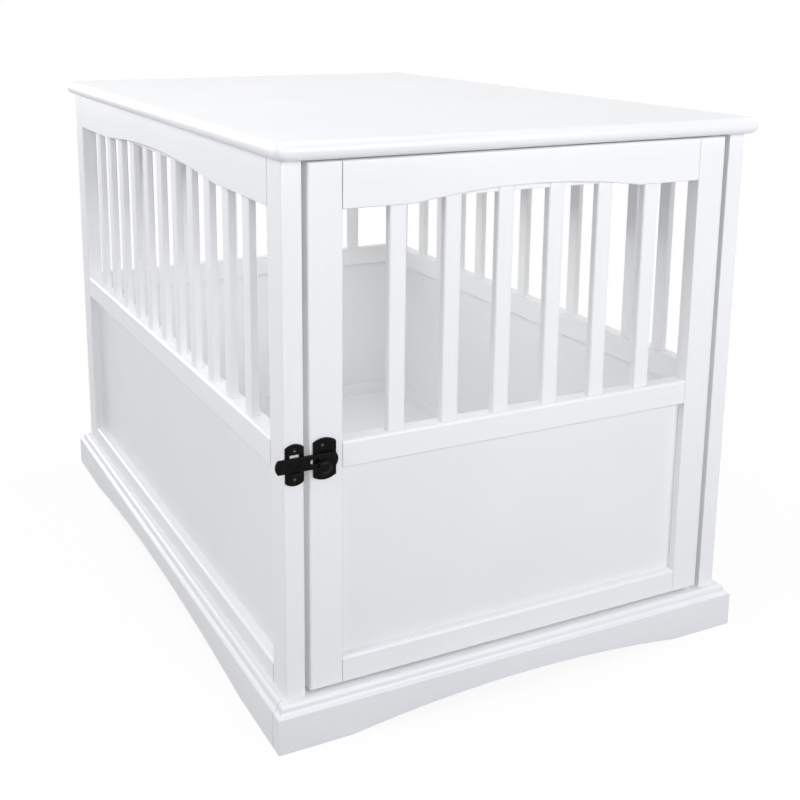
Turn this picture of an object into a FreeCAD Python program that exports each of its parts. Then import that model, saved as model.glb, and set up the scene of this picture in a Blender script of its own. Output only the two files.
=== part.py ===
import FreeCAD, Part
import math
import os
from FreeCAD import Vector as V

os.makedirs("parts", exist_ok=True)

# Dog crate end table: an open-barred wooden crate with a swinging door at one end,
# standing on a moulded plinth and carrying a flat table top.
# Millimetres. X runs across the door, the door faces -Y, +Z is up, and the origin
# lies on the floor under the middle.

# ---- overall sizes ----
FRAME_W = 592.0          # over the posts, across the door
FRAME_L = 874.0          # over the posts, front to back
HEIGHT = 653.0           # floor to the face of the top

# ---- top ----
TOP_T = 19.0
TOP_OVER_X = 10.0        # the top stands out past the posts at the sides
TOP_OVER_Y = 18.0        # and past the door and the back
TOP_CORNER_R = 12.0
TOP_NOSE_R = 9.0         # rounded edge, top and bottom

# ---- plinth and floor ----
PLINTH_H = 52.5
PLINTH_OUT = 16.0        # plinth face outside the posts
PLINTH_T = 17.0
MOULD_H = 10.7           # moulding, from its lip to the plinth's top
LIP_R = 1.2
COVE_R = 4.2
OVOLO_W = 4.0
FOOT_FRONT = 87.0        # flat foot at each end of the short boards
FOOT_SIDE = 118.0        # and of the long ones
ARCH_FRONT = 15.5        # rise of the cut-outs
ARCH_SIDE = 16.0
FLOOR_T = 12.0
FLOOR_LAP = 5.0          # the floor runs on past the posts into the plinth's rebate
BLOCK = 30.0             # glue blocks in the plinth's corners
BEARER_T = 18.0
BEARER_H = 24.0

# ---- posts, rails and panels ----
POST_X = 22.0
POST_Y = 38.0
BACK_T = 18.0
HEAD_H = 51.0            # top rails, at their ends
HEAD_ARCH = 11.5         # rise of their lower edge
MID_Z = 306.0            # underside of the middle rails
MID_H = 31.0
SIDE_FOOT_H = 24.5       # bottom rails of the sides and back
ARCH_END_SIDE = 164.0    # where the arch starts, from the rail's end
ARCH_END_BACK = 114.0
NOSING = 4.0             # rounded upper edge of the middle and bottom rails
EASE = 1.5               # other edges
JOINT_LINE = 0.6         # half width of the line where two boards meet
PANEL_T = 5.0
PANEL_BACK = 3.0         # wood behind a panel
GROOVE = 6.0
GROOVE_GAP = 0.1

# ---- slats ----
SLAT_W = 20.0
SLAT_T = 9.0
SLAT_SET = 6.0
SLAT_TENON = 8.0
SLAT_GAP = 0.1
SLAT_EASE = 1.2
SIDE_SLATS = 11
SIDE_SLAT_END = 79.0     # rail end to the first slat's middle
BACK_SLATS = 6

# ---- door ----
DOOR_T = 18.0
DOOR_GAP = 6.0           # beside the posts
DOOR_SILL = 2.3          # over the floor
DOOR_HEAD = 3.0          # under the top
STILE_W = 38.0
STILE_R = 3.0
DOOR_HEAD_H = 50.0
DOOR_ARCH = 11.0
ARCH_END_DOOR = 85.0
DOOR_MID_H = 30.0
DOOR_FOOT_H = 31.2
DOOR_SLATS = 6
DOOR_SLAT_T = 10.0
DOOR_SLAT_SET = 4.0

# ---- door pivots ----
PIVOT_IN = 9.0           # pivot line from the door's edge, in the middle of its thickness
PIVOT_D = 6.0
PIVOT_RUN = 0.05         # radial running clearance
PIVOT_DEEP = 20.0        # in the door
PIVOT_SEAT = 9.0         # in the floor and the top
WASHER_R = 6.5

# ---- tenons ----
TENON_L = 14.0           # rails into posts and stiles
TENON_T = 8.0
TENON_GAP = 0.1
SHOULDER = 5.0           # above and below a tenon
POST_TENON_SKIN = 2.0    # floor left under the posts' tenons
POST_SHOULDER = 7.0

# ---- screws ----
SCREW_D = 4.0
SCREW_HEAD_D = 8.0
SCREW_HEAD_T = 2.6
TOP_SCREW_L = 34.0
TOP_SCREW_BITE = 12.0
CATCH_SCREW_D = 3.0
CATCH_SCREW_HEAD_D = 6.0
CATCH_SCREW_L = 14.0
SCREW_GAP = 0.1

# ---- latch ----
LATCH_UP = 14.8          # middle of the latch over the middle rails' underside
KEEPER_IN = 0.5          # keeper's edges inside the post's
KEEPER_H = 45.5
KEEPER_DOWN = 1.5        # keeper's middle under the door plate's
PLATE_ARC = 4.0          # rise of the plates' rounded ends
PLATE_W = 25.3
PLATE_H = 45.7
PLATE_IN = 4.0           # plate edge from the door's edge
CATCH_T = 2.0            # sheet of both plates
RIB_W = 4.3              # raised edge along the door plate
RIB_T = 1.2
CATCH_SCREW_Z = 15.5     # screws above and below a plate's middle
WINDOW_W = 11.0
WINDOW_UP = 9.7          # top of the window over the latch's middle
LEDGE_OUT = 6.5          # the keeper's ledge, pressed out of its window
BAR_T = 3.0
BAR_H = 15.5
BAR_DOWN = 7.8           # underside of the bar under the latch's middle
BAR_LEFT = 12.0          # the bar runs past the post's outer face
BAR_RIGHT = 1.0          # and past the door plate
BAR_END_ARC = 3.0
BAR_EASE = 0.5
BAR_LIFT = 0.3           # over the ledge
EYE_L = 11.0
EYE_H = 6.5
EYE_RIGHT = 5.5          # eye's round end outside the door plate's edge
HUB_R = 10.0
HUB_DOWN = 6.3           # rivet under the latch's middle
SPACER_T = 1.7
SPACER_R = 5.5
RIVET_D = 5.0
RIVET_RUN = 0.05
DOME_R = 7.0
DOME_T = 4.0
RUN = 0.3                # gap beside a moving piece

# ---- derived places ----
half_w = FRAME_W / 2
half_l = FRAME_L / 2
top_z0 = HEIGHT - TOP_T
plinth_x = half_w + PLINTH_OUT
plinth_y = half_l + PLINTH_OUT
floor_z0 = PLINTH_H - FLOOR_T
side_half = half_l - POST_Y
back_half = half_w - POST_X
door_half = back_half - DOOR_GAP
door_open = door_half - STILE_W
door_z0 = PLINTH_H + DOOR_SILL
door_z1 = top_z0 - DOOR_HEAD
pivot_x = door_half - PIVOT_IN
pivot_y = DOOR_T / 2 - half_l
latch_z = MID_Z + LATCH_UP
lip_z = PLINTH_H - MOULD_H
post_tenon = FLOOR_T - POST_TENON_SKIN


def box(x0, x1, y0, y1, z0, z1):
    return Part.makeBox(x1 - x0, y1 - y0, z1 - z0, V(x0, y0, z0))


def rod(radius, start, axis, length):
    return Part.makeCylinder(radius, length, start, axis)


def save(node, *solids):
    """Write one node; each of its pieces stays a solid of its own."""
    pieces = [s for shape in solids for s in shape.Solids]
    shape = pieces[0] if len(pieces) == 1 else Part.makeCompound(pieces)
    shape.exportStep("parts/" + node + ".step")


def stand(shape, side):
    """Turn a frame drawn with its face on y = 0 and its back on +y to one side of the crate."""
    angle, out = {"front": (0, half_l), "back": (180, half_l),
                  "left": (-90, half_w), "right": (90, half_w)}[side]
    moved = shape.copy()
    moved.translate(V(0, -out, 0))
    moved.rotate(V(0, 0, 0), V(0, 0, 1), angle)
    return moved


def ease(shape, radius, chosen):
    """Round the edges whose middle point and direction pass the test."""
    edges = []
    for edge in shape.Edges:
        middle = edge.valueAt((edge.FirstParameter + edge.LastParameter) / 2)
        if chosen(middle, edge.tangentAt((edge.FirstParameter + edge.LastParameter) / 2)):
            edges.append(edge)
    return shape.makeFillet(radius, edges)


def near(a, b):
    return abs(a - b) < 0.01


def extrude(points, depth):
    """Prism along +y from an x, z outline; a point given as a pair of points is an arc's
    middle and end."""
    edges = []
    last = V(points[0][0], 0, points[0][1])
    for point in points[1:] + points[:1]:
        if isinstance(point[0], tuple):
            middle, end = [V(p[0], 0, p[1]) for p in point]
            edges.append(Part.Arc(last, middle, end).toShape())
        else:
            end = V(point[0], 0, point[1])
            if last.distanceToPoint(end) > 1e-6:
                edges.append(Part.LineSegment(last, end).toShape())
        last = end
    return Part.Face(Part.Wire(edges)).extrude(V(0, depth, 0))


def joint_line(x, y, z0, z1):
    """Cutter for the line along an upright joint between two boards."""
    r = JOINT_LINE / math.sqrt(2)
    line = box(-r, r, -r, r, z0, z1)
    line.rotate(V(0, 0, 0), V(0, 0, 1), 45)
    return line.translated(V(x, y, 0))


# ---------------------------------------------------------------- slats and frames
def even(half, count):
    """Middles of evenly spaced slats between -half and half."""
    return [half * (2 * (i + 1) / (count + 1) - 1) for i in range(count)]


def spread(half, count, end):
    """Middles of slats whose outer ones lie `end` inside the opening."""
    return [(half - end) * (2 * i / (count - 1) - 1) for i in range(count)]


class Frame:
    """A barred frame: arched top rail, middle rail, bottom rail, slats above and a panel
    below, all between two uprights. Drawn with its face on y = 0."""

    def __init__(self, half, depth, low, foot_h, mid_h, head_h, high, arch_end, rise,
                 places, slat_t, slat_set):
        self.half, self.depth, self.high = half, depth, high
        foot_z, mid_z1, head_z = low + foot_h, MID_Z + mid_h, high - head_h
        self.rails = {
            "bottom_rail": box(-half, half, 0, depth, low, foot_z),
            "mid_rail": box(-half, half, 0, depth, MID_Z, mid_z1),
            "top_rail": extrude([(-half, high), (-half, head_z), (arch_end - half, head_z),
                                 ((0, head_z + rise), (half - arch_end, head_z)),
                                 (half, head_z), (half, high)], depth)}
        for name, top in (("bottom_rail", foot_z), ("mid_rail", mid_z1)):
            self.rails[name] = ease(self.rails[name], NOSING,
                                    lambda p, d: near(p.y, 0) and near(p.z, top))
        self.rails["mid_rail"] = ease(self.rails["mid_rail"], EASE,
                                      lambda p, d: near(p.y, 0) and near(p.z, MID_Z))
        self.rails["top_rail"] = ease(self.rails["top_rail"], EASE,
                                      lambda p, d: near(p.y, 0) and p.z < head_z + rise + 1
                                      and abs(d.z) < 0.5)

        panel_set = depth - PANEL_BACK - PANEL_T
        groove = box(-half - GROOVE, half + GROOVE, panel_set - GROOVE_GAP,
                     panel_set + PANEL_T + GROOVE_GAP, foot_z - GROOVE, MID_Z + GROOVE)
        self.panel = box(-half - GROOVE + GROOVE_GAP, half + GROOVE - GROOVE_GAP, panel_set,
                         panel_set + PANEL_T, foot_z - GROOVE, MID_Z + GROOVE - GROOVE_GAP)

        slat_z0 = mid_z1 - SLAT_TENON
        slat_z1 = head_z + rise + SLAT_TENON
        slat = box(-SLAT_W / 2, SLAT_W / 2, slat_set, slat_set + slat_t, slat_z0,
                   slat_z1 - SLAT_GAP)
        slat = slat.makeChamfer(SLAT_EASE, [e for e in slat.Edges if abs(e.tangentAt(0).z) > 0.9])
        self.slats = [slat.translated(V(u, 0, 0)) for u in places]
        mortises = [box(u - SLAT_W / 2 - SLAT_GAP, u + SLAT_W / 2 + SLAT_GAP,
                        slat_set - SLAT_GAP, slat_set + slat_t + SLAT_GAP, slat_z0, slat_z1)
                    for u in places]

        y0, y1 = (depth - TENON_T) / 2, (depth + TENON_T) / 2
        spans = {"bottom_rail": (low + SHOULDER, foot_z - GROOVE - 1),
                 "mid_rail": (MID_Z + GROOVE + 1, mid_z1 - SHOULDER),
                 "top_rail": (head_z + SHOULDER, high - SHOULDER)}
        ends = {"bottom_rail": (low, foot_z), "mid_rail": (MID_Z, mid_z1),
                "top_rail": (head_z, high)}
        self.cutters = [groove]
        for name, (z0, z1) in spans.items():
            reach = half + TENON_L
            tenons = box(-reach, reach, y0, y1, z0, z1)
            self.rails[name] = self.rails[name].fuse(tenons).removeSplitter()
            lines = [joint_line(x, 0, *ends[name]) for x in (-half, half)]
            self.rails[name] = self.rails[name].cut(
                [groove] + lines + (mortises if name != "bottom_rail" else []))
            self.cutters += lines
            self.cutters.append(box(-reach - TENON_GAP, reach + TENON_GAP, y0 - TENON_GAP,
                                    y1 + TENON_GAP, z0 - TENON_GAP, z1 + TENON_GAP))

    def uprights(self, solid, side):
        """Cut this frame's panel groove and mortises into an upright."""
        return solid.cut([stand(c, side) for c in self.cutters])


side_places = spread(side_half, SIDE_SLATS, SIDE_SLAT_END)
side_frame = Frame(side_half, POST_X, PLINTH_H, SIDE_FOOT_H, MID_H, HEAD_H, top_z0,
                   ARCH_END_SIDE, HEAD_ARCH, side_places, SLAT_T, SLAT_SET)
back_frame = Frame(back_half, BACK_T, PLINTH_H, SIDE_FOOT_H, MID_H, HEAD_H, top_z0,
                   ARCH_END_BACK, HEAD_ARCH, even(back_half, BACK_SLATS), SLAT_T, SLAT_SET)
door_frame = Frame(door_open, DOOR_T, door_z0, DOOR_FOOT_H, DOOR_MID_H, DOOR_HEAD_H, door_z1,
                   ARCH_END_DOOR, DOOR_ARCH, even(door_open, DOOR_SLATS), DOOR_SLAT_T,
                   DOOR_SLAT_SET)


# ---------------------------------------------------------------- screws
def screw(tip, axis, length, diameter, head_d, head_t, sunk):
    """Screw with its tip at a point and its head back along the axis; a sunk head is a cone
    that takes part of the length, a pan head stands on the end of it."""
    back = V(axis).multiply(-1)
    end = tip + V(back).multiply(length)
    if sunk:
        neck = tip + V(back).multiply(length - head_t)
        head = Part.makeCone(diameter / 2, head_d / 2, head_t, neck, back)
        return rod(diameter / 2, tip, back, length - head_t).fuse(head)
    return rod(diameter / 2, tip, back, length).fuse(rod(head_d / 2, end, back, head_t))


def screw_hole(tip, axis, length, diameter, head_d, head_t, sunk, beyond=0.0):
    """The room a screw takes, with a little air round it and an open way behind its head."""
    back = V(axis).multiply(-1)
    end = tip + V(back).multiply(length)
    shaft = rod(diameter / 2 + SCREW_GAP, tip + V(axis).multiply(SCREW_GAP), back,
                length + SCREW_GAP)
    way = rod(head_d / 2 + SCREW_GAP, end, back, beyond + 0.5)
    if sunk:
        sink = Part.makeCone(diameter / 2 + SCREW_GAP, head_d / 2 + SCREW_GAP, head_t,
                             tip + V(back).multiply(length - head_t), back)
        return shaft.fuse([sink, way])
    return shaft.fuse(way)


screw_row = (side_places[-1] + side_places[-2]) / 2
up = V(0, 0, 1)
top_screws, top_holes = [], []
for x in (POST_X / 2 - half_w, half_w - POST_X / 2):
    for y in (-screw_row, screw_row):
        size = (SCREW_D, SCREW_HEAD_D, SCREW_HEAD_T, False)
        tip = V(x, y, top_z0 + TOP_SCREW_BITE)
        top_screws.append(screw(tip, up, TOP_SCREW_L, *size))
        top_holes.append(screw_hole(tip, up, TOP_SCREW_L, *size,
                                    beyond=HEAD_H - TOP_SCREW_L + TOP_SCREW_BITE))
save("top_screws", *top_screws)

# ---------------------------------------------------------------- sides and back
for side, tag in (("left", "_l"), ("right", "_r")):
    for name, rail in side_frame.rails.items():
        rail = stand(rail, side)
        if name == "top_rail":
            rail = rail.cut(top_holes)
        save("side_" + name + tag, rail)
    save("side_panel" + tag, stand(side_frame.panel, side))
    save("side_slats" + tag, *[stand(s, side) for s in side_frame.slats])
for name, rail in back_frame.rails.items():
    save("back_" + name, stand(rail, "back"))
save("back_panel", stand(back_frame.panel, "back"))
save("back_slats", *[stand(s, "back") for s in back_frame.slats])

post = ease(box(-POST_X / 2, POST_X / 2, -POST_Y / 2, POST_Y / 2, PLINTH_H, top_z0),
            EASE, lambda p, d: abs(d.z) > 0.9)
post_x, post_y = half_w - POST_X / 2, half_l - POST_Y / 2
posts, post_mortises = {}, []
for tag, sx, sy in (("fl", -1, -1), ("fr", 1, -1), ("bl", -1, 1), ("br", 1, 1)):
    x, y = sx * post_x, sy * post_y
    t, w = TENON_T / 2, POST_Y / 2 - POST_SHOULDER
    foot = box(x - t, x + t, y - w, y + w, PLINTH_H - post_tenon, PLINTH_H)
    solid = post.translated(V(x, y, 0)).fuse(foot)
    solid = side_frame.uprights(solid, "left" if sx < 0 else "right")
    if sy > 0:
        solid = back_frame.uprights(solid, "back")
    posts[tag] = solid
    t, w = t + TENON_GAP, w + TENON_GAP
    post_mortises.append(box(x - t, x + t, y - w, y + w, PLINTH_H - post_tenon - TENON_GAP,
                             PLINTH_H + 1))

# ---------------------------------------------------------------- top
top = box(-half_w - TOP_OVER_X, half_w + TOP_OVER_X, -half_l - TOP_OVER_Y,
          half_l + TOP_OVER_Y, top_z0, HEIGHT)
top = ease(top, TOP_CORNER_R, lambda p, d: abs(d.z) > 0.9)
top = ease(top, min(TOP_NOSE_R, TOP_T / 2 - 0.5), lambda p, d: near(p.z, top_z0) or near(p.z, HEIGHT))
top_pin = rod(PIVOT_D / 2, V(pivot_x, pivot_y, door_z1 - PIVOT_DEEP + 2), up,
              PIVOT_DEEP - 2 + DOOR_HEAD + PIVOT_SEAT)
top = top.cut(top_holes + [top_pin])
save("top_board", top)

# ---------------------------------------------------------------- plinth and floor
floor_x, floor_y = half_w + FLOOR_LAP, half_l + FLOOR_LAP
low_pin = rod(PIVOT_D / 2, V(pivot_x, pivot_y, PLINTH_H - PIVOT_SEAT), up,
              PIVOT_SEAT + DOOR_SILL + PIVOT_DEEP - 2)
floor = box(-floor_x, floor_x, -floor_y, floor_y, floor_z0, PLINTH_H)
save("floor_panel", floor.cut(post_mortises + [low_pin]))
floor_room = box(-floor_x, floor_x, -floor_y, floor_y, floor_z0, PLINTH_H + 1)


def moulded(width, length):
    """Prism along +y whose left side, x = 0 at its widest, has a lip, cove and ovolo."""
    cove_x = LIP_R + 0.4 + COVE_R
    cove_z = lip_z + COVE_R
    nose_x = cove_x + OVOLO_W
    k = math.sqrt(0.5)
    return extrude([
        (0, 0), (0, lip_z - LIP_R),
        ((LIP_R * (1 - k), lip_z - LIP_R * (1 - k)), (LIP_R, lip_z)), (cove_x - COVE_R, lip_z),
        ((cove_x - COVE_R * (1 - k), cove_z - COVE_R * k), (cove_x, cove_z)),
        ((nose_x - OVOLO_W * k, cove_z + (PLINTH_H - cove_z) * k), (nose_x, PLINTH_H)),
        (width, PLINTH_H), (width, 0)], length)


def plinth_board(half, foot, rise, side, returned):
    """Plinth board with a moulded upper edge and an arched cut-out; the moulding of a
    returned board goes on round its ends."""
    board = moulded(PLINTH_T, 2 * half)
    board.rotate(V(0, 0, 0), up, -90)
    board = board.mirror(V(0, 0, 0), V(0, 1, 0)).translated(V(-half, 0, 0))
    if returned:
        end = moulded(half + 1, PLINTH_T + 2).translated(V(-half, -1, 0))
        board = board.common(end.fuse(end.mirror(V(0, 0, 0), V(1, 0, 0))).removeSplitter())
    reach = half - foot
    arch = extrude([(-reach, -1), (-reach, 0), ((0, rise), (reach, 0)), (reach, -1)],
                   PLINTH_T + 2)
    board = board.cut(arch.translated(V(0, -1, 0)))
    board.translate(V(0, -PLINTH_OUT, 0))
    return stand(board, side).cut([floor_room] + lap_lines)


side_board = plinth_y - PLINTH_T
lap_lines = [joint_line(x, y, -1, lip_z - LIP_R) for x in (-plinth_x, plinth_x)
             for y in (-side_board, side_board)]
save("plinth_front", plinth_board(plinth_x, FOOT_FRONT, ARCH_FRONT, "front", True))
save("plinth_back", plinth_board(plinth_x, FOOT_FRONT, ARCH_FRONT, "back", True))
save("plinth_left", plinth_board(side_board, FOOT_SIDE - PLINTH_T, ARCH_SIDE, "left", False))
save("plinth_right", plinth_board(side_board, FOOT_SIDE - PLINTH_T, ARCH_SIDE, "right", False))

in_x, in_y = plinth_x - PLINTH_T, plinth_y - PLINTH_T
block = ease(box(0, BLOCK, 0, BLOCK, 0, floor_z0), BLOCK / 3,
             lambda p, d: abs(d.z) > 0.9 and near(p.x, BLOCK) and near(p.y, BLOCK))
blocks = []
for angle, x, y in ((0, -in_x, -in_y), (90, in_x, -in_y), (180, in_x, in_y), (270, -in_x, in_y)):
    turned = block.copy()
    turned.rotate(V(0, 0, 0), up, angle)
    blocks.append(turned.translated(V(x, y, 0)))
save("plinth_blocks", *blocks)
save("floor_bearer", box(-in_x, in_x, -BEARER_T / 2, BEARER_T / 2,
                         floor_z0 - BEARER_H, floor_z0))

# ---------------------------------------------------------------- door
stile = box(-STILE_W / 2, STILE_W / 2, 0, DOOR_T, door_z0, door_z1)
stile = ease(stile, STILE_R, lambda p, d: not near(p.x, STILE_W / 2)
             and (near(p.y, 0) or abs(d.z) > 0.9))
pivot_holes = []
for z0, z1 in ((door_z0 - 1, door_z0 + PIVOT_DEEP), (door_z1 - PIVOT_DEEP, door_z1 + 1)):
    pivot_holes.append(rod(PIVOT_D / 2 + PIVOT_RUN, V(pivot_x, pivot_y, z0), up, z1 - z0))
stile_x = door_open + STILE_W / 2
left_stile = door_frame.uprights(stand(stile.translated(V(-stile_x, 0, 0)), "front"), "front")
right = stile.mirror(V(0, 0, 0), V(1, 0, 0))
right_stile = door_frame.uprights(stand(right.translated(V(stile_x, 0, 0)), "front"), "front")
for name, z in (("bottom_rail", door_z0), ("top_rail", door_z1)):
    door_frame.rails[name] = ease(door_frame.rails[name], STILE_R,
                                  lambda p, d: near(p.y, 0) and near(p.z, z))
for name, rail in door_frame.rails.items():
    save("door_" + name, stand(rail, "front"))
save("door_panel", stand(door_frame.panel, "front"))
save("door_slats", *[stand(s, "front") for s in door_frame.slats])
save("door_stile_r", right_stile.cut(pivot_holes))

save("pivot_pins", low_pin, top_pin)
washer = rod(WASHER_R, V(pivot_x, pivot_y, PLINTH_H), up, DOOR_SILL - RUN)
save("pivot_washer", washer.cut(rod(PIVOT_D / 2 + PIVOT_RUN, V(pivot_x, pivot_y, 0), up, 100)))


# ---------------------------------------------------------------- latch
def rounded_plate(width, height, arc, depth):
    """Upright plate with straight sides and gently curved ends, on y = 0."""
    w, h = width / 2, height / 2
    return extrude([(-w, h - arc), ((0, h), (w, h - arc)), (w, arc - h),
                    ((0, -h), (-w, arc - h))], depth)


def place_catch(shape, x, z):
    """Stand a plate drawn with its back on y = 0 against the crate's front."""
    return shape.translated(V(x, -half_l - CATCH_T, z))


out = V(0, -1, 0)
inward = V(0, 1, 0)


def catch_screws(x, z):
    size = (CATCH_SCREW_L, CATCH_SCREW_D, CATCH_SCREW_HEAD_D, CATCH_T * 0.8, True)
    tips = [V(x, -half_l - CATCH_T + CATCH_SCREW_L - RUN, z + s * CATCH_SCREW_Z)
            for s in (-1, 1)]
    return [screw(t, inward, *size) for t in tips], [screw_hole(t, inward, *size) for t in tips]


keeper_x = -half_w + POST_X / 2
keeper_z = latch_z - KEEPER_DOWN
keeper_screws, keeper_holes = catch_screws(keeper_x, keeper_z)
keeper = rounded_plate(POST_X - 2 * KEEPER_IN, KEEPER_H, PLATE_ARC, CATCH_T)
keeper = place_catch(keeper, keeper_x, keeper_z)
face_y = -half_l - CATCH_T
bar_z0 = latch_z - BAR_DOWN
ledge_z1 = bar_z0 - BAR_LIFT
ledge_z0 = ledge_z1 - CATCH_T
keeper = keeper.cut(box(keeper_x - WINDOW_W / 2, keeper_x + WINDOW_W / 2, face_y - 1, -half_l + 1,
                        ledge_z1, latch_z + WINDOW_UP))
ledge = box(keeper_x - WINDOW_W / 2, keeper_x + WINDOW_W / 2, face_y - LEDGE_OUT, -half_l,
            ledge_z0, ledge_z1)
ledge = ease(ledge, CATCH_T * 0.45, lambda p, d: near(p.y, face_y - LEDGE_OUT))
keeper = keeper.fuse(ledge).removeSplitter().cut(keeper_holes)
save("latch_keeper", keeper)
save("keeper_screws", *keeper_screws)
posts["fl"] = posts["fl"].cut(keeper_holes)
for tag, solid in posts.items():
    save("post_" + tag, solid)

plate_x = -door_half + PLATE_IN + PLATE_W / 2
plate_screws, plate_holes = catch_screws(plate_x - RIB_W / 2, latch_z)
plate = place_catch(rounded_plate(PLATE_W, PLATE_H, PLATE_ARC, CATCH_T), plate_x, latch_z)
rib = box(plate_x + PLATE_W / 2 - RIB_W, plate_x + PLATE_W / 2, face_y - RIB_T, face_y,
          latch_z - PLATE_H / 2 + PLATE_ARC, latch_z + PLATE_H / 2 - PLATE_ARC)
hub_x = plate_x - RIB_W / 2
hub_z = latch_z - HUB_DOWN
hub = V(hub_x, -half_l, hub_z)
spacer = rod(SPACER_R, V(hub_x, face_y, hub_z), out, SPACER_T)
bar_y1 = face_y - SPACER_T - RUN
bar_y0 = bar_y1 - BAR_T
shank = rod(RIVET_D / 2, hub, out, -half_l - bar_y0 + RUN)
dome_y = bar_y0 - RUN
dome_ball_r = (DOME_R ** 2 + DOME_T ** 2) / (2 * DOME_T)
ball = Part.makeSphere(dome_ball_r, V(hub_x, dome_y - DOME_T + dome_ball_r, hub_z))
dome = ball.common(rod(DOME_R + 1, V(hub_x, dome_y, hub_z), out, DOME_T + 1))
rivet_hole = rod(RIVET_D / 2, V(hub_x, 0, hub_z), out, 2 * half_l)
save("latch_plate", plate.fuse(rib).removeSplitter().cut(plate_holes + [rivet_hole]))
save("latch_spacer", spacer.cut(rivet_hole))
save("latch_rivet", shank.fuse(dome).removeSplitter())
save("plate_screws", *plate_screws)
save("door_stile_l", left_stile.cut(plate_holes))

x0, x1 = -half_w - BAR_LEFT, plate_x + PLATE_W / 2 + BAR_RIGHT
z0, z1 = bar_z0, bar_z0 + BAR_H
arm = extrude([(x0 + BAR_END_ARC, z0), ((x0, (z0 + z1) / 2), (x0 + BAR_END_ARC, z1)),
               (x1 - BAR_END_ARC, z1), ((x1, (z0 + z1) / 2), (x1 - BAR_END_ARC, z0))], BAR_T)
arm = arm.translated(V(0, bar_y0, 0))
eye_x0 = -door_half + PLATE_IN - EYE_RIGHT
eye_z = (z0 + z1) / 2 + 0.7
r = EYE_H / 2
eye = extrude([(eye_x0 + r, eye_z - r), ((eye_x0, eye_z), (eye_x0 + r, eye_z + r)),
               (eye_x0 + EYE_L - r, eye_z + r),
               ((eye_x0 + EYE_L, eye_z), (eye_x0 + EYE_L - r, eye_z - r))], BAR_T + 2)
bar = arm.fuse(rod(HUB_R, V(hub_x, bar_y1, hub_z), out, BAR_T)).removeSplitter()
bar = bar.cut([eye.translated(V(0, bar_y0 - 1, 0)),
               rod(RIVET_D / 2 + RIVET_RUN, V(hub_x, 0, hub_z), out, 2 * half_l)])
bar = bar.makeChamfer(BAR_EASE, [e for e in bar.Edges if near(e.BoundBox.YMax, bar_y0)
                                 and e.BoundBox.DiagonalLength > RIVET_D * 2])
save("latch_bar", bar)
print("pivot", pivot_x, pivot_y, "latch", hub_x, bar_y1, hub_z)
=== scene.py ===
import math

import bpy
from mathutils import Matrix, Vector


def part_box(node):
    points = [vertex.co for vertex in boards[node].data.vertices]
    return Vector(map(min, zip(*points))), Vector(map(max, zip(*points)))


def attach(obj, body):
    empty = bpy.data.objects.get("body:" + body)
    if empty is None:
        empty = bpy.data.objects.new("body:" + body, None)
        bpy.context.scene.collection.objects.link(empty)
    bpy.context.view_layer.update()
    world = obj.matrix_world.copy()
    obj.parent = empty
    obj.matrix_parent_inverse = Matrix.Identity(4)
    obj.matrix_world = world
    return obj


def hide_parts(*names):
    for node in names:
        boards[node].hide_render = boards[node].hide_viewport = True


# Dog crate end table: its paint and metal, the latch with its pressed edges, and the studio. Metres.

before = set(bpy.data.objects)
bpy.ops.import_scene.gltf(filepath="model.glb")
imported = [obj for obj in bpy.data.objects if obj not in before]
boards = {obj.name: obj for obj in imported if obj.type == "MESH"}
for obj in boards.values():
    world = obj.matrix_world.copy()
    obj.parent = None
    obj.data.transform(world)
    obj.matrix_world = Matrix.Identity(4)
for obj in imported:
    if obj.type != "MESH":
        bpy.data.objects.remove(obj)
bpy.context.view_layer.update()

AXES = {"across": 0, "along": 1, "upright": 2}    # X over the door, Y down the sides, Z up the posts

# Whites: posts and rails, then the plinth, panels and floor set a little darker and the slats a little
# lighter
WHITE = (0.864, 0.865, 0.864)
PLINTH_WHITE = (0.834, 0.838, 0.842)
SLAT_WHITE = (0.872, 0.873, 0.871)
PANEL_WHITE = (0.85, 0.853, 0.853)
FLOOR_WHITE = (0.842, 0.847, 0.842)

# Shares of a paint's colour
THIN_COAT = (0.968, 0.97, 0.973)
THICK_COAT = (1.012, 1.012, 1.012)
WORN_COAT = (0.93, 0.915, 0.88)
CLOUD_PART = 0.55          # how much of its tone comes from thick and thin patches
GRAIN_PART = 0.45          # and how much from the grain

# Relief of the paint, in metres
ARRIS = 0.0008             # radius that sanding leaves on every edge
WEAR = 0.0009              # width of the rubbed line along it
GRAIN_RISE = 0.00009
FIBRE_RISE = 0.00003
SPRAY_RISE = 0.000035

# Painted shade in the fine line where a rail meets an upright
JOINT_SHADE_START = 0.0007        # from the rail's end
JOINT_SHADE_FULL = 0.00045
JOINT_SHADE_COLOUR = (0.12, 0.12, 0.12)
HEAD_JOINT_SHADE = 0.9            # how dark the painted shade stands at the door's head, where the joint lines are darkest

# Latch enamel
ENAMEL_THIN = (0.004, 0.004, 0.0044)
ENAMEL_THICK = (0.0012, 0.0012, 0.0014)
# Grey of the enamel's edges: partly rubbed steel, partly painted highlight
ENAMEL_WORN_AND_GLINT = (0.13, 0.13, 0.135)
ENAMEL_WEAR_AND_GLINT = 0.0005       # width of the grey line along an edge, partly rub wear and partly painted highlight, in metres
ENAMEL_GLOSS = 0.08        # low, because everything round the crate is white and shows in it

# Relief of the other finishes, in metres
PEEL_RISE = 0.00005
ZINC_RISE = 0.00002
MOULD_RISE = 0.00003
SAWN_RISE = 0.00015
RING_RISE = 0.0001

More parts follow.
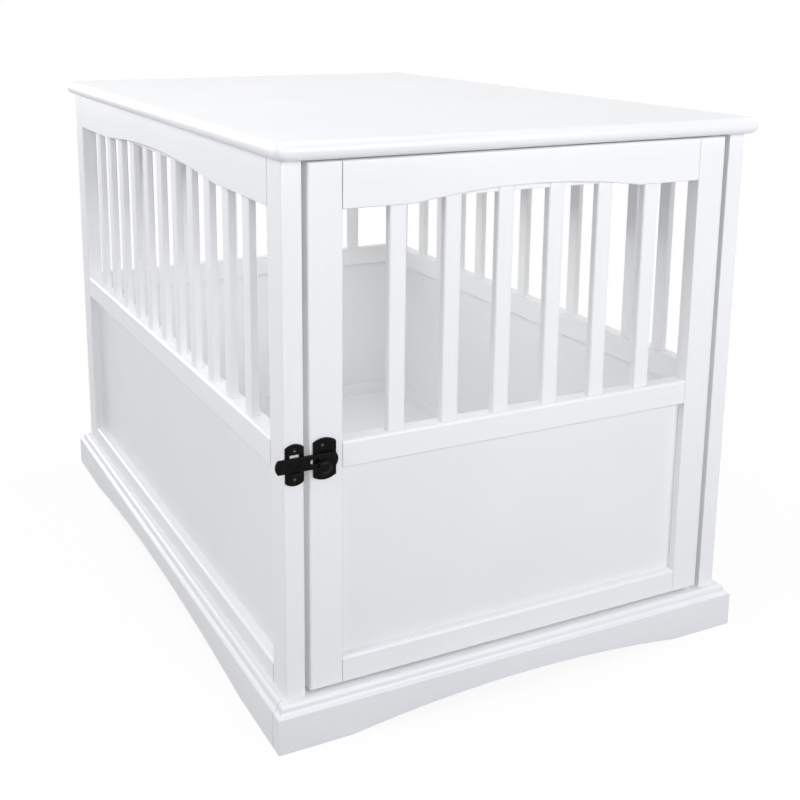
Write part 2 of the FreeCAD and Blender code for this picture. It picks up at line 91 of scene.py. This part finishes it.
# Latch hardware, in metres
PRESSED_EDGE = 0.00035
SCREW_HEAD = 0.003         # radius
SCREW_PROUD = 0.0003       # the head's crown in front of its plate
SCREW_OUTLINE = (          # how far behind the plate's face, and the radius there
    (0.0125, 0.0002), (0.0110, 0.0011),
    (0.0016, 0.0013), (0, 0.0029), (-0.0001, SCREW_HEAD),
    (-0.0002, 0.00285), (-0.00028, 0.0022), (-SCREW_PROUD, 0.0012),
)
RECESS_LONG = 0.0036
RECESS_WIDE = 0.0009
RECESS_DEEP = 0.0013
RECESS_R = 0.0019          # the recess's faces lie inside this radius
RECESS_FRONT = -0.0001     # and between these two, behind the plate's face
RECESS_BACK = 0.0012
RIVET_SHANK = 0.0025       # radius
RIVET_HEAD_H = 0.004
RIVET_RIM = 0.0010         # straight rim below the dome
RIVET_EASE_R = 0.0004      # soft corner under the rim, across
RIVET_EASE_Y = 0.0003      # and deep
RIVET_CROWN = 0.0002       # radius of the flat at the dome's crown
DOME_ANGLES = (12, 24, 36, 48, 60, 72, 82, 90)

# Studio, in metres
DAYLIGHT = (0.95, 0.96, 1)
PLAIN = (1, 1, 1)
ROOM_LEVEL = 0.20
FLOOR_DROP = 0.0005        # the paper lies this far under the feet
FLOOR_R = 30
PAPER_IN_BOUNCE = (0.4, 0.4, 0.4)
PAPER_SEEN = (0.95, 0.95, 0.95)
SHADOW_R = 0.65            # the shadow shows in full inside this radius
NO_SHADOW_R = 1.3
OWN_WHITE = 0.9            # share of plain white in the shadow's part of the floor

# The photo's view, from a fit to the crate's corners; the camera tilts down in place of most
# of the photo's shift, which would push the crate out of the other views
SENSOR = 36                # mm
LENS = 53.081
SHIFT_X = 0.0382
SHIFT_Y = -0.1804
CAMERA_PLACE = (-0.72331, -1.48780, 0.78966)
CAMERA_TURN = -26.4907     # degrees about the upright, from facing the door
CAMERA_TILT = 77.58        # from looking straight down
CAMERA_ROLL = 0.277

# Lamps: name, place, the point it is aimed at, width, height, watts, colour
LAMPS = (
    ("lamp_overhead", (0, 0.5, 2.5), (0, 0.1, 0.3), 2, 2.2, 21, PLAIN),
    ("lamp_front", (0.45, -1.8, 0.9), (0.1, -0.45, 0.58), 0.9, 0.6, 15, DAYLIGHT),
    ("lamp_front_left", (-1, -1.9, 1), (-0.25, -0.4, 0.5), 0.8, 0.8, 6.5, DAYLIGHT),
    ("lamp_left", (-1.6, -0.6, 1.15), (-0.3, -0.1, 0.6), 0.9, 0.6, 4.6, DAYLIGHT),
    ("lamp_left_back", (-1.5, 0.5, 1), (-0.3, 0.2, 0.6), 0.9, 0.6, 1.6, DAYLIGHT),
    ("lamp_left_high", (-1.7, -0.4, 1.7), (-0.3, 0, 0.5), 1.4, 0.8, 12, DAYLIGHT),
    ("lamp_right", (2.6, 0.3, 1.4), (0.3, 0, 0.4), 1.6, 1.2, 26, DAYLIGHT),
    ("lamp_back", (-0.9, 2.7, 1), (0, 0.45, 0.4), 1.6, 1, 26, DAYLIGHT),
    ("lamp_cabin", (0, 0, 0.5), (0, 0, 0), 0.4, 0.7, 0.85, PLAIN),
)


# Paint, metal and bare wood


def blank_finish(name, colour, roughness):
    """A new material with one plain shader, its node tree and that shader."""
    finish = bpy.data.materials.new(name)
    finish.use_nodes = True
    shader = finish.node_tree.nodes["Principled BSDF"]
    shader.inputs["Base Color"].default_value = (*colour, 1)
    shader.inputs["Roughness"].default_value = roughness
    return finish, finish.node_tree, shader


def toned(colour, shares):
    """A colour with each of its parts multiplied by its share."""
    return tuple(part * share for part, share in zip(colour, shares))


def place_on_piece(tree, scale):
    """The piece's own coordinates, stretched by scale."""
    where = tree.nodes.new("ShaderNodeTexCoord")
    stretch = tree.nodes.new("ShaderNodeMapping")
    stretch.inputs["Scale"].default_value = scale
    tree.links.new(where.outputs["Object"], stretch.inputs["Vector"])
    return stretch.outputs["Vector"]


def mottle(tree, scale, detail=3.0, roughness=0.5, distortion=0.0):
    """Noise over the piece, nearly all of it between 0.3 and 0.7.

    scale is one number or one for each axis, in marks a metre.
    """
    spots = tree.nodes.new("ShaderNodeTexNoise")
    spots.inputs["Scale"].default_value = 1
    spots.inputs["Detail"].default_value = detail
    spots.inputs["Roughness"].default_value = roughness
    spots.inputs["Distortion"].default_value = distortion
    scale = (scale,) * 3 if isinstance(scale, (int, float)) else scale
    tree.links.new(place_on_piece(tree, scale), spots.inputs["Vector"])
    return spots.outputs["Fac"]


def grain_scale(grain, across, along):
    """Marks a metre across the grain and along it, as one number for each axis."""
    scale = [across] * 3
    scale[AXES[grain]] = along
    return tuple(scale)


def sums(tree, how, a, b):
    """One step of arithmetic; a and b are sockets or numbers."""
    step = tree.nodes.new("ShaderNodeMath")
    step.operation = how
    for socket, value in zip(step.inputs, (a, b)):
        if isinstance(value, (int, float)):
            socket.default_value = value
        else:
            tree.links.new(value, socket)
    return step.outputs[0]


def remap(tree, value, low, high, out_low, out_high):
    """value between low and high becomes out_low to out_high, and stays inside them."""
    ease = tree.nodes.new("ShaderNodeMapRange")
    for name, number in (("From Min", low), ("From Max", high), ("To Min", out_low), ("To Max", out_high)):
        ease.inputs[name].default_value = number
    tree.links.new(value, ease.inputs["Value"])
    return ease.outputs["Result"]


def shade_between(tree, amount, dark, light):
    """A colour from dark to light as amount goes from 0 to 1."""
    blend = tree.nodes.new("ShaderNodeMix")
    blend.data_type = "RGBA"
    for name, colour in (("A", dark), ("B", light)):
        socket = next(s for s in blend.inputs if s.name == name and s.type == "RGBA")
        if isinstance(colour, tuple):
            socket.default_value = (*colour, 1)
        else:
            tree.links.new(colour, socket)
    tree.links.new(amount, blend.inputs["Factor"])
    return next(s for s in blend.outputs if s.type == "RGBA")


def soft_arris(tree, radius):
    """A node whose normal turns round every edge of the piece, as sanding leaves it."""
    rounded = tree.nodes.new("ShaderNodeBevel")
    rounded.samples = 4
    rounded.inputs["Radius"].default_value = radius
    return rounded


def raise_surface(tree, shader, layers, sanded=None):
    """Bump from layers of (height, how far it stands in metres), over arrises sanded to a radius."""
    normal = None
    if sanded:
        normal = soft_arris(tree, sanded).outputs["Normal"]
    for height, depth in layers:
        bump = tree.nodes.new("ShaderNodeBump")
        bump.inputs["Strength"].default_value = 1
        bump.inputs["Distance"].default_value = depth
        tree.links.new(height, bump.inputs["Height"])
        if normal:
            tree.links.new(normal, bump.inputs["Normal"])
        normal = bump.outputs["Normal"]
    tree.links.new(normal, shader.inputs["Normal"])


def edge_rub(tree, radius):
    """1 along a piece's own edges and 0 on its flats, fading over radius."""
    flat = tree.nodes.new("ShaderNodeNewGeometry")
    dot = tree.nodes.new("ShaderNodeVectorMath")
    dot.operation = "DOT_PRODUCT"
    tree.links.new(soft_arris(tree, radius).outputs["Normal"], dot.inputs[0])
    tree.links.new(flat.outputs["Normal"], dot.inputs[1])
    return remap(tree, dot.outputs["Value"], 0.995, 0.85, 0, 1)


def joint_shadow(tree, grain, end):
    """1 in the fine line of painted shade at a rail's ends, where it meets an upright at end from the
    middle.
    """
    apart = tree.nodes.new("ShaderNodeSeparateXYZ")
    tree.links.new(place_on_piece(tree, (1, 1, 1)), apart.inputs[0])
    out = sums(tree, "ABSOLUTE", apart.outputs[AXES[grain]], 0)
    return remap(tree, out, end - JOINT_SHADE_START, end - JOINT_SHADE_FULL, 0, 1)


def white_paint(name, grain, colour=WHITE, show=1.0, end=None, joint_shade=0.5):
    """Sprayed satin white over wood, with its grain along one axis.

    The grain shows through by the share show. A rail's joints at end get painted shade, by the last share.
    """
    finish, tree, shader = blank_finish(name, colour, 0.36)
    cloud = mottle(tree, 5, detail=2)
    lines = mottle(tree, grain_scale(grain, across=420, along=9), detail=4,
                   roughness=0.62, distortion=0.25)
    fibres = mottle(tree, grain_scale(grain, across=1500, along=60), detail=2)
    spray = mottle(tree, 900, detail=2, roughness=0.6)

    patches = sums(tree, "MULTIPLY", cloud, CLOUD_PART)
    tone = sums(tree, "ADD", patches, sums(tree, "MULTIPLY", lines, GRAIN_PART * show))
    shade = remap(tree, tone, 0.3, 0.3 + 0.4 * (CLOUD_PART + GRAIN_PART * show), 0, 1)
    paint = shade_between(tree, shade, toned(colour, THIN_COAT), toned(colour, THICK_COAT))

    patchy = remap(tree, mottle(tree, 60, detail=3), 0.42, 0.62, 0, 0.55)
    rub = sums(tree, "MULTIPLY", edge_rub(tree, WEAR), patchy)
    paint = shade_between(tree, rub, paint, toned(colour, WORN_COAT))
    if end:
        # A fine line of painted shade darkens the rail's ends where they meet an upright
        uneven_shade = remap(tree, mottle(tree, 25, detail=2), 0.35, 0.6, joint_shade * 0.6, joint_shade)
        painted_joint_shade = sums(tree, "MULTIPLY", joint_shadow(tree, grain, end), uneven_shade)
        paint = shade_between(tree, painted_joint_shade, paint, JOINT_SHADE_COLOUR)
    tree.links.new(paint, shader.inputs["Base Color"])

    satin = remap(tree, sums(tree, "ADD", spray, lines), 0.7, 1.3, 0.32, 0.46)
    tree.links.new(satin, shader.inputs["Roughness"])
    relief = ((lines, GRAIN_RISE * show), (fibres, FIBRE_RISE * show), (spray, SPRAY_RISE))
    raise_surface(tree, shader, relief, ARRIS)
    return finish


def black_enamel(name, roughness=0.36):
    """Baked black enamel on pressed steel; its edges grey, partly bare steel where it rubs and partly
    painted highlight.
    """
    finish, tree, shader = blank_finish(name, (0.003, 0.003, 0.0033), roughness)
    shader.inputs["Specular IOR Level"].default_value = ENAMEL_GLOSS
    cloud = mottle(tree, 260, detail=3)
    peel = mottle(tree, 1600, detail=2, roughness=0.55)
    black = shade_between(tree, remap(tree, cloud, 0.35, 0.65, 0, 1), ENAMEL_THICK, ENAMEL_THIN)
    patchy = remap(tree, mottle(tree, 420, detail=3), 0.42, 0.62, 0.1, 0.8)
    # Grey along the edges: partly rub wear, partly a painted highlight
    rub = sums(tree, "MULTIPLY", edge_rub(tree, ENAMEL_WEAR_AND_GLINT), patchy)
    tree.links.new(shade_between(tree, rub, black, ENAMEL_WORN_AND_GLINT), shader.inputs["Base Color"])
    satin = remap(tree, cloud, 0.3, 0.7, roughness - 0.08, roughness + 0.1)
    tree.links.new(satin, shader.inputs["Roughness"])
    raise_surface(tree, shader, ((peel, PEEL_RISE),))
    return finish


def zinc_plate(name):
    """Bright zinc on screws and pins."""
    finish, tree, shader = blank_finish(name, (0.55, 0.56, 0.57), 0.35)
    shader.inputs["Metallic"].default_value = 1
    cloud = mottle(tree, 500, detail=3)
    zinc = shade_between(tree, cloud, (0.42, 0.43, 0.45), (0.68, 0.68, 0.66))
    tree.links.new(zinc, shader.inputs["Base Color"])
    tree.links.new(remap(tree, cloud, 0.3, 0.7, 0.25, 0.5), shader.inputs["Roughness"])
    raise_surface(tree, shader, ((mottle(tree, 2500, detail=2), ZINC_RISE),))
    return finish


def moulded_nylon(name):
    """Natural nylon, a little cloudy, with the fine grain of its mould."""
    finish, tree, shader = blank_finish(name, (0.78, 0.78, 0.74), 0.42)
    cloud = mottle(tree, 180, detail=2)
    nylon = shade_between(tree, cloud, (0.7, 0.7, 0.66), (0.82, 0.82, 0.79))
    tree.links.new(nylon, shader.inputs["Base Color"])
    tree.links.new(remap(tree, cloud, 0.3, 0.7, 0.36, 0.5), shader.inputs["Roughness"])
    raise_surface(tree, shader, ((mottle(tree, 1800, detail=2), MOULD_RISE),))
    return finish


def bare_pine(name, grain):
    """Sawn pine that no paint reaches."""
    finish, tree, shader = blank_finish(name, (0.62, 0.42, 0.24), 0.7)
    rings = tree.nodes.new("ShaderNodeTexWave")
    rings.wave_type = "RINGS"
    rings.rings_direction = "XYZ"[AXES[grain]]
    rings.inputs["Scale"].default_value = 1
    rings.inputs["Distortion"].default_value = 3
    rings.inputs["Detail"].default_value = 2
    rings.inputs["Detail Scale"].default_value = 1.5
    tree.links.new(place_on_piece(tree, grain_scale(grain, across=60, along=3)), rings.inputs["Vector"])
    fibres = mottle(tree, grain_scale(grain, across=900, along=20), detail=3)
    ring_part = sums(tree, "MULTIPLY", rings.outputs["Fac"], 0.6)
    tone = sums(tree, "ADD", ring_part, sums(tree, "MULTIPLY", fibres, 0.4))
    pine = shade_between(tree, tone, (0.68, 0.48, 0.28), (0.46, 0.28, 0.14))
    tree.links.new(pine, shader.inputs["Base Color"])
    tree.links.new(remap(tree, fibres, 0.3, 0.7, 0.6, 0.8), shader.inputs["Roughness"])
    raise_surface(tree, shader, ((fibres, SAWN_RISE), (rings.outputs["Fac"], RING_RISE)))
    return finish


# Each run of rails meets its uprights at the same distance from the crate's middle
door_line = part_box("door_stile_r")[0].x
back_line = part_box("post_br")[0].x
side_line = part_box("post_bl")[0].y
lap_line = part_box("plinth_back")[0].y

paint_top = white_paint("paint_top_board", "along", show=0.6)
paint_uprights = white_paint("paint_uprights", "upright")
paint_door_head = white_paint("paint_door_head", "across", end=door_line, joint_shade=HEAD_JOINT_SHADE)
paint_door_rails = white_paint("paint_door_rails", "across", end=door_line)
paint_back_rails = white_paint("paint_back_rails", "across", end=back_line)
paint_side_rails = white_paint("paint_side_rails", "along", end=side_line)
paint_plinth_ends = white_paint("paint_plinth_ends", "across", PLINTH_WHITE)
paint_plinth_sides = white_paint("paint_plinth_sides", "along", PLINTH_WHITE, end=lap_line)
paint_slats = white_paint("paint_slats", "upright", SLAT_WHITE)
paint_panels = white_paint("paint_panels", "upright", PANEL_WHITE, show=0.35)
paint_floor = white_paint("paint_floor", "along", FLOOR_WHITE, show=0.4)
latch_enamel = black_enamel("latch_enamel")
screw_enamel = black_enamel("screw_enamel", roughness=0.3)
driven_steel = zinc_plate("driven_steel")
screw_zinc = zinc_plate("screw_zinc")
washer_nylon = moulded_nylon("washer_nylon")
pine_blocks = bare_pine("pine_blocks", "upright")
pine_bearer = bare_pine("pine_bearer", "across")

# The first entry that a board's name starts with gives its finish
FINISHES = (
    ("top_board", paint_top),
    ("post_", paint_uprights),
    ("door_stile", paint_uprights),
    ("side_top_rail", paint_side_rails),
    ("side_mid_rail", paint_side_rails),
    ("side_bottom_rail", paint_side_rails),
    ("back_top_rail", paint_back_rails),
    ("back_mid_rail", paint_back_rails),
    ("back_bottom_rail", paint_back_rails),
    ("door_top_rail", paint_door_head),
    ("door_mid_rail", paint_door_rails),
    ("door_bottom_rail", paint_door_rails),
    ("side_slats", paint_slats),
    ("back_slats", paint_slats),
    ("door_slats", paint_slats),
    ("side_panel", paint_panels),
    ("back_panel", paint_panels),
    ("door_panel", paint_panels),
    ("floor_panel", paint_floor),
    ("floor_bearer", pine_bearer),
    ("plinth_blocks", pine_blocks),
    ("plinth_front", paint_plinth_ends),
    ("plinth_back", paint_plinth_ends),
    ("plinth_left", paint_plinth_sides),
    ("plinth_right", paint_plinth_sides),
    ("latch_", latch_enamel),
    ("keeper_screws", latch_enamel),
    ("plate_screws", latch_enamel),
    ("top_screws", screw_zinc),
    ("pivot_pins", screw_zinc),
    ("pivot_washer", washer_nylon),
)


def coat(board, finish):
    """Gives a carried-over board its finish through its object's own slot."""
    for slot in board.material_slots:
        slot.link = "OBJECT"
        slot.material = finish


for name, board in boards.items():
    coat(board, next(finish for start, finish in FINISHES if name.startswith(start)))


# Latch, modelled over its CAD pieces


def alone(piece):
    """Only this piece is selected and active."""
    bpy.ops.object.select_all(action="DESELECT")
    piece.select_set(True)
    bpy.context.view_layer.objects.active = piece


def settle(piece):
    """Puts the piece's place into its mesh."""
    alone(piece)
    bpy.ops.object.transform_apply(location=True, rotation=True, scale=True)


def soften(piece, angle):
    """Merges doubles, turns every face outwards, and smooths over edges flatter than angle."""
    alone(piece)
    bpy.ops.object.mode_set(mode="EDIT")
    bpy.ops.mesh.select_all(action="SELECT")
    bpy.ops.mesh.remove_doubles(threshold=1e-6)
    bpy.ops.mesh.normals_make_consistent(inside=False)
    bpy.ops.object.mode_set(mode="OBJECT")
    bpy.ops.object.shade_smooth_by_angle(angle=math.radians(angle))


def round_edges(piece, width, segments=3, angle=35):
    """A small radius along every edge sharper than angle."""
    alone(piece)
    bevel = piece.modifiers.new("radius", "BEVEL")
    bevel.width = width
    bevel.segments = segments
    bevel.limit_method = "ANGLE"
    bevel.angle_limit = math.radians(angle)
    bevel.use_clamp_overlap = True
    bpy.ops.object.modifier_apply(modifier=bevel.name)


def turned(name, x, z, steps, sides=48):
    """A round piece about an axis along Y, from steps of (y, radius) towards the front."""
    y, radius = steps[0]
    bpy.ops.object.select_all(action="DESELECT")
    bpy.ops.mesh.primitive_circle_add(vertices=sides, radius=radius, fill_type="NGON", location=(x, y, z),
                                      rotation=(math.radians(90), 0, 0))
    piece = bpy.context.object
    piece.name = name
    settle(piece)
    bpy.ops.object.mode_set(mode="EDIT")
    bpy.ops.mesh.select_all(action="SELECT")
    for next_y, next_radius in steps[1:]:
        growth = next_radius / radius
        bpy.ops.mesh.extrude_region_move(TRANSFORM_OT_translate={"value": (0, next_y - y, 0)})
        bpy.ops.transform.resize(value=(growth, 1, growth), center_override=(x, next_y, z))
        y, radius = next_y, next_radius
    bpy.ops.object.mode_set(mode="OBJECT")
    soften(piece, 30)
    return piece


def driver_blade(x, y, z, wide, tall, deep):
    """One blade of a cross recess, cut to a taper; its wide end stands out in front of y."""
    bpy.ops.object.select_all(action="DESELECT")
    bpy.ops.mesh.primitive_cube_add(size=1, location=(x, y, z), scale=(wide, 2 * deep, tall))
    blade = bpy.context.object
    settle(blade)
    bpy.ops.object.mode_set(mode="EDIT")
    bpy.ops.mesh.select_mode(type="VERT")
    bpy.ops.mesh.select_all(action="DESELECT")
    bpy.ops.object.mode_set(mode="OBJECT")
    for corner in blade.data.vertices:
        corner.select = corner.co.y > y
    bpy.ops.object.mode_set(mode="EDIT")
    bpy.ops.transform.resize(value=(0.5, 1, 0.5), center_override=(x, y + deep, z))
    bpy.ops.object.mode_set(mode="OBJECT")
    return blade


def cut_away(piece, cutter):
    """Takes cutter out of piece and throws it away."""
    alone(piece)
    cut = piece.modifiers.new("recess", "BOOLEAN")
    cut.operation = "DIFFERENCE"
    cut.object = cutter
    cut.solver = "EXACT"
    bpy.ops.object.modifier_apply(modifier=cut.name)
    bpy.data.objects.remove(cutter)


def catch_screw(name, x, z, face_y):
    """A countersunk screw with a cross recess; face_y is the front of its plate."""
    screw = turned(name, x, z, [(face_y + back, radius) for back, radius in SCREW_OUTLINE])
    for wide, tall in ((RECESS_LONG, RECESS_WIDE), (RECESS_WIDE, RECESS_LONG)):
        cut_away(screw, driver_blade(x, face_y - SCREW_PROUD, z, wide, tall, RECESS_DEEP))
    soften(screw, 25)
    screw.data.materials.clear()
    screw.data.materials.append(screw_enamel)
    screw.data.materials.append(driven_steel)
    for face in screw.data.polygons:
        from_axis = math.hypot(face.center.x - x, face.center.z - z)
        if from_axis < RECESS_R and face_y + RECESS_FRONT < face.center.y < face_y + RECESS_BACK:
            face.material_index = 1
    return screw


def copy_above(piece, name, rise):
    """A copy with its own mesh, moved up by rise."""
    copy = piece.copy()
    copy.data = piece.data.copy()
    copy.name = name
    bpy.context.scene.collection.objects.link(copy)
    copy.location = (0, 0, rise)
    settle(copy)
    return copy


def merged_copy(node, name):
    """A copy of a CAD piece, no longer marked as one, with its loose triangles joined into faces."""
    piece = boards[node].copy()
    piece.data = boards[node].data.copy()
    piece.parent = None
    piece.name = name
    for key in [k for k in piece.keys() if k.startswith("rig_")]:
        del piece[key]
    bpy.context.scene.collection.objects.link(piece)
    alone(piece)
    bpy.ops.mesh.customdata_custom_splitnormals_clear()
    bpy.ops.object.mode_set(mode="EDIT")
    bpy.ops.mesh.select_all(action="SELECT")
    bpy.ops.mesh.remove_doubles(threshold=1e-6)
    bpy.ops.mesh.dissolve_limited(angle_limit=math.radians(1))
    bpy.ops.object.mode_set(mode="OBJECT")
    return piece


def dress(piece, body, slot, *nodes):
    """Gives a new piece its body and hides the CAD pieces it stands for; slot is not used."""
    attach(piece, body)
    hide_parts(*nodes)


def enamel(piece):
    """Black enamel all over a new piece."""
    piece.data.materials.clear()
    piece.data.materials.append(latch_enamel)


def pressed_plate(node, body):
    """A latch plate with the soft edges that a press leaves."""
    plate = merged_copy(node, node + "_pressed")
    round_edges(plate, PRESSED_EDGE)
    soften(plate, 35)
    enamel(plate)
    dress(plate, body, "black_metal", node)


def latch_screws(node, body):
    """The two screws of a latch plate, one above the other."""
    low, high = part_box(node)
    lower = catch_screw(node + "_lower", (low.x + high.x) / 2, low.z + SCREW_HEAD, low.y + SCREW_PROUD)
    upper = copy_above(lower, node + "_upper", high.z - low.z - 2 * SCREW_HEAD)
    for one in (lower, upper):
        dress(one, body, "black_metal", node)


def domed_rivet():
    """The rivet that the bar turns on, with a straight rim and a domed head."""
    low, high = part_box("latch_rivet")
    head = (high.x - low.x) / 2
    seat = low.y + RIVET_HEAD_H
    rim = seat - RIVET_RIM
    steps = [(high.y, RIVET_SHANK), (seat, RIVET_SHANK), (seat, head - RIVET_EASE_R)]
    steps += [(seat - RIVET_EASE_Y, head), (rim, head)]
    for angle in map(math.radians, DOME_ANGLES):
        height = (RIVET_HEAD_H - RIVET_RIM) * math.sin(angle)
        steps.append((rim - height, head * math.cos(angle) + RIVET_CROWN))
    rivet = turned("latch_rivet_domed", (low.x + high.x) / 2, (low.z + high.z) / 2, steps)
    enamel(rivet)
    dress(rivet, "door", "black_metal", "latch_rivet")


pressed_plate("latch_keeper", "crate")
pressed_plate("latch_plate", "door")
pressed_plate("latch_spacer", "door")
pressed_plate("latch_bar", "latch_bar")
latch_screws("keeper_screws", "crate")
latch_screws("plate_screws", "door")
domed_rivet()


# Studio


def seen_directly(tree):
    """1 where the eye, a mirror or glass looks at it, 0 for light that bounces."""
    path = tree.nodes.new("ShaderNodeLightPath")
    either = sums(tree, "MAXIMUM", path.outputs["Is Camera Ray"], path.outputs["Is Glossy Ray"])
    return sums(tree, "MAXIMUM", either, path.outputs["Is Transmission Ray"])


def white_floor():
    """White paper on the floor, which keeps a faint shadow round the crate."""
    bpy.ops.mesh.primitive_circle_add(vertices=64, radius=FLOOR_R, fill_type="NGON",
                                      location=(0, 0, -FLOOR_DROP))
    floor = bpy.context.object
    floor.name = "studio_floor"
    paper, tree, shader = blank_finish("white_paper", PAPER_IN_BOUNCE, 0.9)
    sheet = shade_between(tree, seen_directly(tree), PAPER_IN_BOUNCE, PAPER_SEEN)
    tree.links.new(sheet, shader.inputs["Base Color"])
    glow = tree.nodes.new("ShaderNodeEmission")
    glow.inputs["Color"].default_value = (*PLAIN, 1)
    away = tree.nodes.new("ShaderNodeVectorMath")
    away.operation = "LENGTH"
    tree.links.new(place_on_piece(tree, (1, 1, 1)), away.inputs[0])
    share = remap(tree, away.outputs["Value"], SHADOW_R, NO_SHADOW_R, OWN_WHITE, 1)
    mixed = tree.nodes.new("ShaderNodeMixShader")
    tree.links.new(sums(tree, "MULTIPLY", share, seen_directly(tree)), mixed.inputs[0])
    tree.links.new(shader.outputs[0], mixed.inputs[1])
    tree.links.new(glow.outputs[0], mixed.inputs[2])
    tree.links.new(mixed.outputs[0], tree.nodes["Material Output"].inputs["Surface"])
    floor.data.materials.append(paper)


def white_room(level):
    """A world that lights the crate at level and is white where it is seen."""
    room = bpy.data.worlds.new("white_room")
    room.use_nodes = True
    bpy.context.scene.world = room
    tree = room.node_tree
    lit = tree.nodes["Background"]
    lit.inputs["Color"].default_value = (*DAYLIGHT, 1)
    lit.inputs["Strength"].default_value = level
    seen = tree.nodes.new("ShaderNodeBackground")
    seen.inputs["Color"].default_value = (*PLAIN, 1)
    mixed = tree.nodes.new("ShaderNodeMixShader")
    tree.links.new(seen_directly(tree), mixed.inputs[0])
    tree.links.new(lit.outputs[0], mixed.inputs[1])
    tree.links.new(seen.outputs[0], mixed.inputs[2])
    tree.links.new(mixed.outputs[0], tree.nodes["World Output"].inputs["Surface"])


def soft_box(name, place, aim, width, height, watts, tint):
    """A large soft lamp that the camera doesn't see."""
    lamp = bpy.data.lights.new(name, "AREA")
    lamp.color = tint
    lamp.shape = "RECTANGLE"
    lamp.size = width
    lamp.size_y = height
    lamp.energy = watts
    stand = bpy.data.objects.new(name, lamp)
    stand.location = place
    stand.rotation_euler = (Vector(aim) - Vector(place)).to_track_quat("-Z", "Y").to_euler()
    stand.visible_camera = False
    bpy.context.scene.collection.objects.link(stand)


def set_camera():
    """The photo's view of the crate."""
    lens = bpy.data.cameras.new("camera")
    lens.sensor_width = SENSOR
    lens.lens = LENS
    lens.shift_x = SHIFT_X
    lens.shift_y = SHIFT_Y
    camera = bpy.data.objects.new("camera", lens)
    camera.matrix_world = (Matrix.Translation(CAMERA_PLACE)
                           @ Matrix.Rotation(math.radians(CAMERA_TURN), 4, "Z")
                           @ Matrix.Rotation(math.radians(CAMERA_TILT), 4, "X")
                           @ Matrix.Rotation(math.radians(CAMERA_ROLL), 4, "Z"))
    bpy.context.scene.collection.objects.link(camera)
    bpy.context.scene.camera = camera


white_floor()
white_room(ROOM_LEVEL)
for lamp in LAMPS:
    soft_box(*lamp)
set_camera()
bpy.context.scene.view_settings.view_transform = "Standard"
